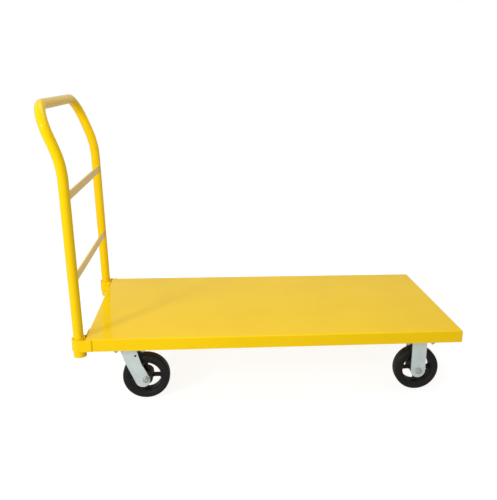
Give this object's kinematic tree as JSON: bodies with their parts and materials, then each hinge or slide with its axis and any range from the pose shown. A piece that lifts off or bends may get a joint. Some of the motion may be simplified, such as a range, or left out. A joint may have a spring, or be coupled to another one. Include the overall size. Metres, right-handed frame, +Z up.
{
  "type": "platform cart",
  "caption": "Flat steel platform cart with a lift-out bent-tube push handle, swivel casters at the handle end and rigid casters at the front.",
  "frame": {"origin": "on the floor, under the middle of the cart's overall length and width, handle included", "axes": "+X from the handle end to the front, +Y to the left of someone pushing the cart, +Z up"},
  "size_m": [1.3387, 0.6156, 0.9569],
  "materials": {
    "yellow_paint": "glossy powder coat",
    "zinc_plate": "bright zinc plate, satin",
    "fastener_zinc": "bright zinc plate",
    "bearing_steel": "ground steel, greased",
    "rubber": "moulded, satin",
    "cast_iron": "black painted casting"
  },
  "bodies": {
    "deck": {"axle_front_left": "fastener_zinc", "axle_front_right": "fastener_zinc", "axle_nut_front_left": "fastener_zinc", "axle_nut_front_right": "fastener_zinc", "axle_sleeve_front_left": "bearing_steel", "axle_sleeve_front_right": "bearing_steel", "caster_channel_front": "yellow_paint", "caster_channel_rear": "yellow_paint", "deck_pan": "yellow_paint", "kingpin_left": "bearing_steel", "kingpin_nut_left": "fastener_zinc", "kingpin_nut_right": "fastener_zinc", "kingpin_right": "bearing_steel", "lower_race_left": "bearing_steel", "lower_race_right": "bearing_steel", "plate_bolts": "fastener_zinc", "plate_nuts": "fastener_zinc", "plate_washers": "fastener_zinc", "rigid_fork_left": "zinc_plate", "rigid_fork_right": "zinc_plate", "socket_pipe_left": "yellow_paint", "socket_pipe_right": "yellow_paint", "socket_stop_left": "yellow_paint", "socket_stop_right": "yellow_paint", "socket_strap_left": "yellow_paint", "socket_strap_right": "yellow_paint", "stiffener_front": "yellow_paint", "stiffener_rear": "yellow_paint", "swivel_plate_left": "zinc_plate", "swivel_plate_right": "zinc_plate"},
    "handle": {"handle_tube": "yellow_paint", "crossbar_lower": "yellow_paint", "crossbar_upper": "yellow_paint"},
    "swivel_fork_left": {"swivel_fork_left": "zinc_plate", "main_balls_left": "bearing_steel", "lower_balls_left": "bearing_steel", "axle_rear_left": "fastener_zinc", "axle_nut_rear_left": "fastener_zinc", "axle_sleeve_rear_left": "bearing_steel"},
    "swivel_fork_right": {"swivel_fork_right": "zinc_plate", "main_balls_right": "bearing_steel", "lower_balls_right": "bearing_steel", "axle_rear_right": "fastener_zinc", "axle_nut_rear_right": "fastener_zinc", "axle_sleeve_rear_right": "bearing_steel"},
    "wheel_rear_left": {"tyre_rear_left": "rubber", "wheel_core_rear_left": "cast_iron", "roller_bearing_rear_left": "bearing_steel"},
    "wheel_rear_right": {"tyre_rear_right": "rubber", "wheel_core_rear_right": "cast_iron", "roller_bearing_rear_right": "bearing_steel"},
    "wheel_front_left": {"tyre_front_left": "rubber", "wheel_core_front_left": "cast_iron", "roller_bearing_front_left": "bearing_steel"},
    "wheel_front_right": {"tyre_front_right": "rubber", "wheel_core_front_right": "cast_iron", "roller_bearing_front_right": "bearing_steel"}
  },
  "joints": [
    {"name": "handle_lift", "type": "slide", "parent": "deck", "child": "handle", "axis": [-0.0314, 0, 0.9995], "range_m": [0, 0.08]},
    {"name": "swivel_left", "type": "hinge", "parent": "deck", "child": "swivel_fork_left", "pos_m": [-0.41824, 0.24, 0.1905], "axis": [0, 0, 1], "continuous": true},
    {"name": "swivel_right", "type": "hinge", "parent": "deck", "child": "swivel_fork_right", "pos_m": [-0.41824, -0.24, 0.1905], "axis": [0, 0, 1], "continuous": true},
    {"name": "wheel_spin_rear_left", "type": "hinge", "parent": "swivel_fork_left", "child": "wheel_rear_left", "pos_m": [-0.36974, 0.24, 0.0762], "axis": [0, 1, 0], "continuous": true},
    {"name": "wheel_spin_rear_right", "type": "hinge", "parent": "swivel_fork_right", "child": "wheel_rear_right", "pos_m": [-0.36974, -0.24, 0.0762], "axis": [0, 1, 0], "continuous": true},
    {"name": "wheel_spin_front_left", "type": "hinge", "parent": "deck", "child": "wheel_front_left", "pos_m": [0.53776, 0.24, 0.0762], "axis": [0, 1, 0], "continuous": true},
    {"name": "wheel_spin_front_right", "type": "hinge", "parent": "deck", "child": "wheel_front_right", "pos_m": [0.53776, -0.24, 0.0762], "axis": [0, 1, 0], "continuous": true}
  ]
}
